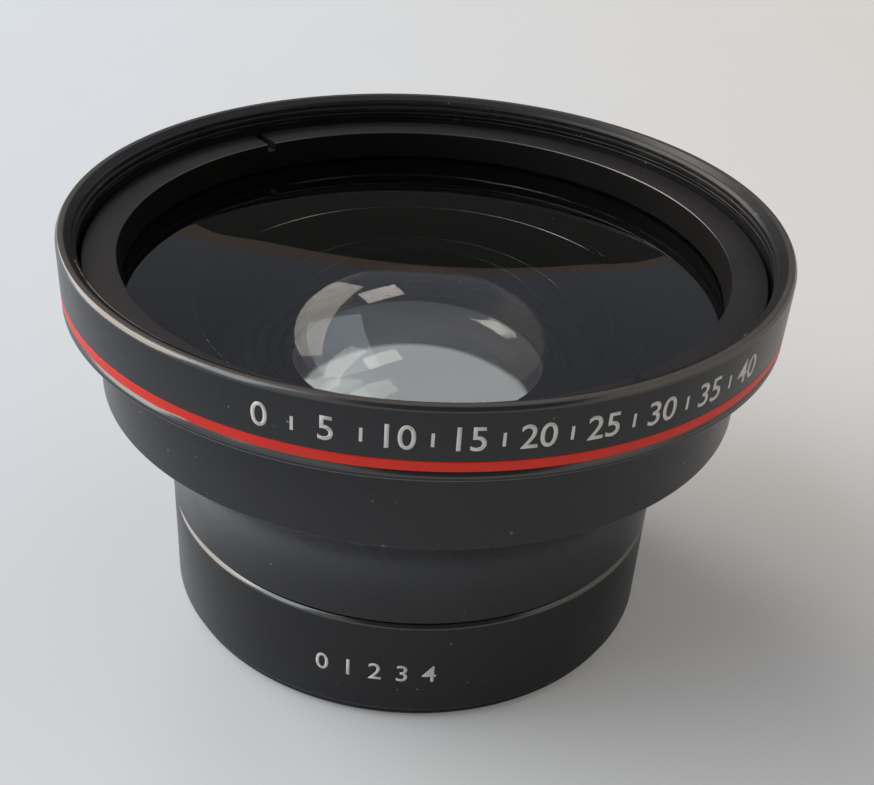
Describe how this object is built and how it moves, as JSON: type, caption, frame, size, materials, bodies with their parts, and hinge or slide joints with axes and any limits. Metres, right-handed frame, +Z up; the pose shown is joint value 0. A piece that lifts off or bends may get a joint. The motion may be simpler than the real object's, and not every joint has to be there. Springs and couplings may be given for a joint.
{
  "type": "wide-angle conversion lens with macro section",
  "caption": "Round black lens that screws onto a camera lens: a flared barrel with a large front glass and a red stripe, and a macro section screwed in below.",
  "frame": {"origin": "centre of the rear thread's end face, which the lens stands on", "axes": "+Z up along the optical axis, from the macro section to the front glass; the spanner slots of the hidden rings lie along Y"},
  "size_m": [0.0804, 0.0804, 0.0485],
  "materials": {
    "anodised_black": "satin black anodised",
    "matt_black": "matt black anodised",
    "red_enamel": "red enamel paint, lightly chipped",
    "coated_glass": "polished optical glass with a dark coating",
    "mark_paint": "off-white paint of the numerals, which are painted on in the scene",
    "fibre_washer": "matt black fibre"
  },
  "bodies": {
    "macro_section": {"macro_ring": "anodised_black", "macro_element": "coated_glass", "macro_retaining_ring": "matt_black"},
    "wide_optics": {"front_element": "coated_glass", "rear_crown_element": "coated_glass", "rear_flint_element": "coated_glass"},
    "wide_barrel": {"main_barrel": "anodised_black", "front_ring": "anodised_black", "red_stripe": "red_enamel", "front_retaining_ring": "matt_black", "front_seat_washer": "fibre_washer", "rear_spacer_ring": "matt_black", "rear_retaining_ring": "matt_black"}
  },
  "joints": [
    {"name": "wide_section_lift", "type": "slide", "parent": "macro_section", "child": "wide_optics", "axis": [0, 0, 1], "range_m": [0, 0.003]},
    {"name": "wide_section_turn", "type": "hinge", "parent": "wide_optics", "child": "wide_barrel", "pos_m": [0, 0, 0.01425], "axis": [0, 0, 1], "range_deg": [0, 1440]}
  ],
  "couplings": [
    {"joint": "wide_section_lift", "follows": "wide_section_turn", "m_per_rad": 0.00011936}
  ]
}
